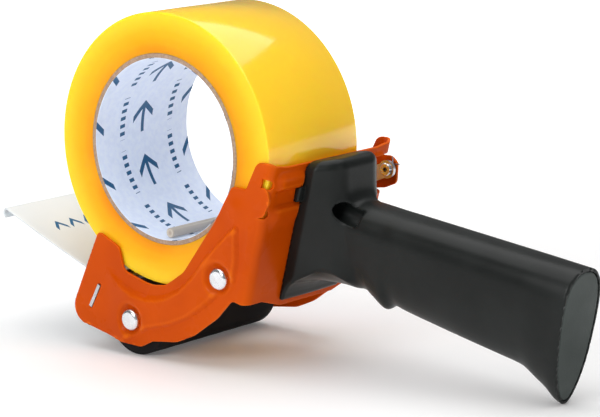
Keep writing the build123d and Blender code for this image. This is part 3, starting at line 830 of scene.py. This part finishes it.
def grip_field(x, y, z, inset=0.0):
    """Egg-shaped grip, wide above and narrow below, its sections parallel to the sloping end."""
    station = x - SKEW * (line_at(GRIP_TOP, x) - z)
    high = line_at(GRIP_TOP, station)
    below = [(bx - SKEW * (line_at(GRIP_TOP, bx) - bz), bz) for bx, bz in GRIP_BELOW]
    low = line_at(curved(sorted(below), 5), station)
    half = (high - low) / 2 - inset
    v = ((high + low) / 2 - z) / half
    width = (GRIP_HALF - inset) * (EGG[0] - EGG[1] * v - EGG[2] * v ** 3)
    egg = np.abs(v) ** EGG_HIGH + np.abs(y / np.maximum(width, 1.0)) ** EGG_ACROSS
    return (egg ** EGG_ROOT - 1) * EGG_REACH


def end_depth(x, z):
    """Distance outward of the sloping end face."""
    length = math.hypot(END_TOP[0] - END_BOTTOM[0], END_TOP[1] - END_BOTTOM[1])
    out = (-(END_TOP[1] - END_BOTTOM[1]) / length, (END_TOP[0] - END_BOTTOM[0]) / length)
    return (x - END_TOP[0]) * out[0] + (z - END_TOP[1]) * out[1]


def handle_field(x, y, z):
    """Mounting block, grip, screw pockets and the seat of the end cap, each field's slope near one."""
    depth = -(x - WEB_FOOT[0]) * math.cos(LEAN) - (z - WEB_FOOT[1]) * math.sin(LEAN)
    wall_x = WEB_FOOT[0] - (z - WEB_FOOT[1]) * math.tan(LEAN) - BASE_DEPTH / math.cos(LEAN)
    taper = np.clip((wall_x - x) / (wall_x - NECK_X), 0, 1.4)
    sides = (np.abs(y) - BASE_HALF + (BASE_HALF - NECK_HALF) * taper) * 0.92
    top = (z - BLOCK_TOP[1] + (x - BLOCK_TOP[0]) * BLOCK_SLOPE) * 0.992
    block = round_all([top, sides, NECK_X - x], BLOCK_EDGE)
    hollow = SIDE_ARCH * np.exp(-((x - SIDE_ARCH_X) / SIDE_ARCH_SPAN) ** 2)
    hollow = hollow * np.clip(np.abs(y) / NECK_HALF, 0, 1.2) ** 2
    under = (line_at(curved(ARCH, 6), x) + hollow - z) * 0.8
    block = round_all([block, under], UNDER_EDGE)
    shape = blend_in(block, grip_field(x, y, z), GRIP_FILLET)
    tab = [np.abs(y) - TAB_HALF, np.abs(z - (GROOVE[0] + GROOVE[1]) / 2) - TAB_HEIGHT / 2, depth - TAB_DEPTH]
    shape = np.minimum(shape, round_all(tab, TAB_EDGE))
    for height, length in POCKET_ENDS.items():
        up = (height - WEB_FOOT[1]) / math.cos(LEAN)
        rise = -(x - WEB_FOOT[0]) * math.sin(LEAN) + (z - WEB_FOOT[1]) * math.cos(LEAN) - up
        hole = np.hypot(np.abs(y) - POCKET_Y, rise) - POCKET
        hole = round_all([hole, BASE_DEPTH - depth, depth - BASE_DEPTH - length], POCKET_FLOOR)
        shape = round_all([shape, -hole], POCKET_MOUTH)
    end = end_depth(x, z)
    shape = round_all([shape, end], END_EDGE)
    seat = np.maximum(grip_field(x, y, z, RIM), -CAP - end)
    shape = np.maximum(shape, -seat)
    return np.maximum(shape, -depth)


def cap_field(x, y, z):
    """The end cap, set inside the rim of the handle."""
    end = end_depth(x, z)
    return round_all([grip_field(x, y, z, RIM + SEAM), end + CAP_SUNK, SEAM - CAP - end], CAP_EDGE)


def surface(field, low, high, step):
    """Closed mesh of the surface where a field is zero, made cell by cell on a grid."""
    axes = [np.arange(a, b + step, step) for a, b in zip(low, high)]
    grid = np.meshgrid(*axes, indexing="ij")
    values = field(*grid)
    inside = values < 0
    cells = np.zeros(tuple(n - 1 for n in inside.shape), int)
    corners = [(i, j, k) for i in (0, 1) for j in (0, 1) for k in (0, 1)]
    spans = [slice(0, -1), slice(1, None)]
    for i, j, k in corners:
        cells += inside[spans[i], spans[j], spans[k]]
    mixed = (cells > 0) & (cells < 8)
    index = np.full(cells.shape, -1)
    index[mixed] = np.arange(mixed.sum())
    where = np.argwhere(mixed)
    total, count = np.zeros((len(where), 3)), np.zeros(len(where))
    for corner in corners:
        for axis in range(3):
            if corner[axis]:
                continue
            a, b = where + corner, where + corner
            b[:, axis] += 1
            va, vb = values[tuple(a.T)], values[tuple(b.T)]
            cross = (va < 0) != (vb < 0)
            share = np.where(cross, va / np.where(cross, va - vb, 1), 0)
            spot = a.astype(float)
            spot[:, axis] += share
            total += spot * cross[:, None]
            count += cross
    points = np.array(low) + total / count[:, None] * step
    probe, settling = 0.01, 5
    for _ in range(settling):
        here = field(*points.T)
        slope = np.column_stack([(field(*(points + move).T) - field(*(points - move).T)) / (2 * probe)
                                 for move in np.eye(3) * probe])
        shift = here / np.maximum((slope ** 2).sum(axis=1), 0.05)
        points = points - np.clip(slope * shift[:, None], -0.3 * step, 0.3 * step)
    faces = []
    for axis in range(3):
        others = [n for n in range(3) if n != axis]
        first, second = [slice(None)] * 3, [slice(None)] * 3
        first[axis], second[axis] = slice(0, -1), slice(1, None)
        a, b = inside[tuple(first)], inside[tuple(second)]
        for flip in (False, True):
            found = np.argwhere((b & ~a) if flip else (a & ~b))
            if not len(found):
                continue
            quad = []
            for du, dv in ((1, 1), (0, 1), (0, 0), (1, 0)):
                cell = found.copy()
                cell[:, others[0]] -= du
                cell[:, others[1]] -= dv
                quad.append(index[tuple(cell.T)])
            quad = np.column_stack(quad)
            faces.append(quad if flip != (axis == 1) else quad[:, ::-1])
    return points, np.concatenate(faces)[:, ::-1]


def build_handle():
    """Handle body and end cap."""
    top = box_mm("handle_body")[1][2]
    end_low = box_mm("handle_end_cap")[0]
    points, faces = surface(handle_field, (end_low[0] - 1.5, -23.6, -1.5), (2.5, 23.8, top + 2), HANDLE_GRID)
    add_piece("handle_shell", points, faces, handle_plastic, "frame_body",
              ["handle_body"], SHARP)
    points, faces = surface(cap_field, (end_low[0] - 1.5, -14.4, -1.5), (-124.0, 14.6, 58.0), CAP_GRID)
    add_piece("end_cap", points, faces, cap_plastic, "frame_body", ["handle_end_cap"], SHARP)


# ---- Tape roll ----
# The film's outer layer ends in a small step, at this angle
FILM_STEP = 0.12
FILM_END = math.radians(-35)
PAPER = 0.2
# Rounded edge of the roll, and the unevenness of its faces
ROLL_EDGE = 0.5
ROLL_WAVE = 0.05
# Bores that clear the parts inside them
TYRE_BORE = 11.55
ROD_SLEEVE_BORE = 1.55


def build_roll():
    """Wound film with its free end stuck down, board core and printed paper lining."""
    rows = [(core_radius, roll_far + 0.1), (core_radius, roll_near - 0.1)]
    waves = 13
    for k in range(1, waves):
        radius = core_radius + (roll_radius - core_radius) * k / waves
        rows.append((radius, roll_near - 0.06 + ROLL_WAVE * math.sin(2.3 * k)))
    rows += [(roll_radius - ROLL_EDGE, roll_near),
             (roll_radius - 0.3 * ROLL_EDGE, roll_near - 0.3 * ROLL_EDGE),
             (roll_radius, roll_near - ROLL_EDGE)]
    inner = (roll_near + roll_far) / 2
    rows += [(roll_radius, inner)]
    far_rows = [(r, 2 * inner - y) for r, y in rows[2:-1]]
    rows += far_rows[::-1]
    turns = 256
    angles = np.linspace(0, 2 * math.pi, turns + 1)
    points, faces = [], []
    for radius, y in rows:
        outer = max(0.0, (radius - core_radius) / (roll_radius - core_radius))
        r = radius - FILM_STEP * outer * angles / (2 * math.pi)
        points.append(np.column_stack([roll_xz[0] + r * np.cos(angles + FILM_END), np.full(turns + 1, y),
                                       roll_xz[1] + r * np.sin(angles + FILM_END)]))
    count = len(rows)
    ring = turns + 1
    for i in range(count):
        a, b = i * ring, (i + 1) % count * ring
        faces += [(a + k, a + k + 1, b + k + 1, b + k) for k in range(turns)]
        faces.append((a + turns, b + turns, b, a))
    add_piece("tape_layers", np.concatenate(points), faces, film, "tape_roll", ["tape_winding"])

    bore = core_bore
    board = [(bore + PAPER, roll_far + 0.15), (core_radius - 0.25, roll_far), (core_radius, roll_far + 0.2),
             (core_radius, roll_near - 0.2), (core_radius - 0.25, roll_near), (bore + PAPER, roll_near - 0.1)]
    turned("core_tube", board, roll_xz, card, "tape_roll", ["tape_core"], 200)
    back = bore + PAPER - 0.03
    ends = roll_far + 0.05, roll_near - 0.05
    lining = [(bore, ends[0]), (back, ends[0]), (back, ends[1]), (bore, ends[1])]
    turned("core_lining", lining, roll_xz, core_paper(bore), "tape_roll", (), 200)


# ---- Turned parts ----
def build_turned():
    """Rubber roller and the plastic sleeve on the hold-down rod."""
    low, high = box_mm("roller_sleeve")
    edge, soft, wave = 0.8, 0.23, 0.04
    rows = [(TYRE_BORE, low[1]), (roller_radius - edge, low[1]), (roller_radius - soft, low[1] + soft),
            (roller_radius, low[1] + edge)]
    for y in np.linspace(low[1] + edge, high[1] - edge, 14)[1:-1]:
        rows.append((roller_radius - wave * math.sin(1.7 * y), y))
    rows += [(roller_radius, high[1] - edge), (roller_radius - soft, high[1] - soft),
             (roller_radius - edge, high[1]), (TYRE_BORE, high[1])]
    turned("rubber_tyre", rows, roller_xz, rubber, "front_roller", ["roller_sleeve"], 144)

    low, high = box_mm("rod_sleeve")
    rows = [(0.0, high[1] - 0.25), (sleeve_radius - 0.6, high[1] - 0.1), (sleeve_radius - 0.35, high[1]),
            (sleeve_radius, high[1] - 0.35), (sleeve_radius, low[1] + 0.3), (sleeve_radius - 0.3, low[1]),
            (ROD_SLEEVE_BORE, low[1])]
    turned("sleeve_on_rod", rows, sleeve_xz, sleeve_plastic, "hold_down_arm",
           ["rod_sleeve"], 48, closed=False)


# ---- Tape flap ----
FLAP_RISE = math.radians(22.7)
FLAP_THICKNESS = 0.8
FLAP_BOW = 0.5
# The tip curls down round this radius, through this angle
FLAP_LIP = 1.9
FLAP_CURL = math.radians(200)
# The last stretch narrows by this share
FLAP_TAPER, FLAP_NARROWING = 4.0, 0.02


def build_flap():
    """One springy sheet from under the clamp bar to its curled tip; the real one flexes in front of the
    clamp, but this mesh keeps one shape.
    """
    root_low = box_mm("flap_root")[0]
    flap_high = box_mm("tape_flap")[1]
    along = np.array((math.cos(FLAP_RISE), 0, math.sin(FLAP_RISE)))
    up = np.array((-math.sin(FLAP_RISE), 0, math.cos(FLAP_RISE)))
    start = np.array((root_low[0] + FLAP_THICKNESS * math.sin(FLAP_RISE), 0, root_low[2]))
    start = start + up * FLAP_THICKNESS / 2
    length = (flap_high[0] - start[0]) / math.cos(FLAP_RISE) - 1.0
    rows = [(u, -FLAP_BOW * math.sin(math.pi * u / length)) for u in np.linspace(0, length - FLAP_LIP, 64)]
    rows += [(length - FLAP_LIP + FLAP_LIP * math.sin(angle), -FLAP_LIP + FLAP_LIP * math.cos(angle))
             for angle in np.linspace(0, FLAP_CURL, 15)[1:]]
    across = 41
    points = []
    for u, v in rows:
        corner = max(0.0, u - (length - FLAP_TAPER)) / FLAP_TAPER
        shrink = 1 - FLAP_NARROWING * corner ** 2
        points += [start + along * u + up * v + np.array((0, y * shrink, 0))
                   for y in np.linspace(-flap_high[1], flap_high[1], across)]
    faces = [(i * across + k, i * across + k + 1, (i + 1) * across + k + 1, (i + 1) * across + k)
             for i in range(len(rows) - 1) for k in range(across - 1)]
    clear = milky_sheet(start * MM, along)
    triangles = np.array([f[:3] for f in faces] + [(f[0], f[2], f[3]) for f in faces])
    points, faces = thickened(np.array(points), triangles, FLAP_THICKNESS - 0.05, 0.2)
    piece = add_piece("clear_flap", points, faces, clear, None,
                      ["flap_root", "tape_flap"], SHARP)
    rest = piece.data.attributes.new("rest", "FLOAT_VECTOR", "POINT")
    coordinates = np.zeros(len(piece.data.vertices) * 3, np.float32)
    piece.data.vertices.foreach_get("co", coordinates)
    rest.data.foreach_set("vector", coordinates)
    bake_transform(piece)


# ---- CAD nodes that keep their shape ----
def dress():
    """Gives every CAD node that stays in view its finish."""
    finishes = [(chrome, "tie_rod roller_axle pivot_rivet core_rod blade_rivets flap_rivets"),
                (lever_metal, "hold_down_lever"), (spring_metal, "torsion_spring"), (blade_metal, "blade"),
                (bracket_metal, "blade_bracket flap_clamp_bar"), (dark_plastic, "roller_tube"),
                (white_plastic, "roller_washers roller_bushings"),
                (screw_metal, "handle_screws handle_washers")]
    for finish, names in finishes:
        for node in [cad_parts[name] for name in names.split()]:
            if not node.material_slots:
                node.data.materials.append(finish)
            for slot in node.material_slots:
                slot.material = finish


# ---- Floor, light and camera ----
def build_stage():
    """Pale floor, a large soft light above, and gentle fill."""
    floor = Finish("pale_floor", Roughness=0.4, Specular_IOR_Level=0.2, Emission_Color=(1, 1, 1, 1))
    floor.link("Base Color", floor.mix(floor.noise(4, 2), srgb(244, 244, 244), srgb(248, 248, 248)))
    away = floor.node("ShaderNodeVectorMath", {0: floor.place()}, operation="LENGTH").outputs["Value"]
    floor.link("Emission Strength", floor.between(away, 0.1, 1.1, 0.1, 1.0))
    mesh = bpy.data.meshes.new("floor")
    reach = 4.0
    mesh.from_pydata([(-reach, -reach, 0), (reach, -reach, 0), (reach, reach, 0), (-reach, reach, 0)], [],
                     [(0, 1, 2, 3)])
    plane = placed("floor", mesh)
    mesh.materials.append(floor.material)
    world = bpy.data.worlds.new("studio")
    bpy.context.scene.world = world
    world.use_nodes = True
    sky = world.node_tree.nodes["Background"].inputs
    sky["Color"].default_value = (1, 1, 1, 1)
    sky["Strength"].default_value = 0.22
    bpy.context.scene.view_settings.view_transform = "Standard"
    middle = Vector((0, 0, 0.06))
    # Place and size in metres, and power in watts
    lights = [("overhead", (0.05, -0.05, 1.1), (1.5, 1.5), 15.0),
              ("key", (0.0, 0.8, 0.45), (0.35, 0.35), 3.0),
              ("rear", (-0.9, 0.1, 0.35), (0.3, 0.5), 0.4)]
    for name, spot, size, power in lights:
        data = bpy.data.lights.new(name, "AREA")
        data.shape = "RECTANGLE"
        data.size, data.size_y = size
        data.energy = power
        lamp = placed(name, data)
        lamp.location = spot
        aim = middle - Vector(spot)
        lamp.rotation_mode = "QUATERNION"
        lamp.rotation_quaternion = aim.to_track_quat("-Z", "Y")


def build_camera():
    """The camera looks at the open side from behind, a little above the tool, from one metre away."""
    azimuth, elevation, roll = math.radians(219.3), math.radians(10.7), math.radians(1.05)
    aim = Vector((-17.9, 23.7, 69.7)) * MM
    back = Vector((math.sin(azimuth) * math.cos(elevation), -math.cos(azimuth) * math.cos(elevation),
                   math.sin(elevation)))
    data = bpy.data.cameras.new("view")
    data.sensor_width = 36.0
    data.lens = 148.1
    camera = placed("view", data)
    camera.rotation_mode = "QUATERNION"
    camera.location = aim + back
    turn = (-back).to_track_quat("-Z", "Y")
    camera.rotation_quaternion = turn @ Matrix.Rotation(-roll, 3, "Z").to_quaternion()
    bpy.context.scene.camera = camera


build_frame()
build_handle()
build_roll()
build_turned()
build_flap()
dress()
build_stage()
build_camera()
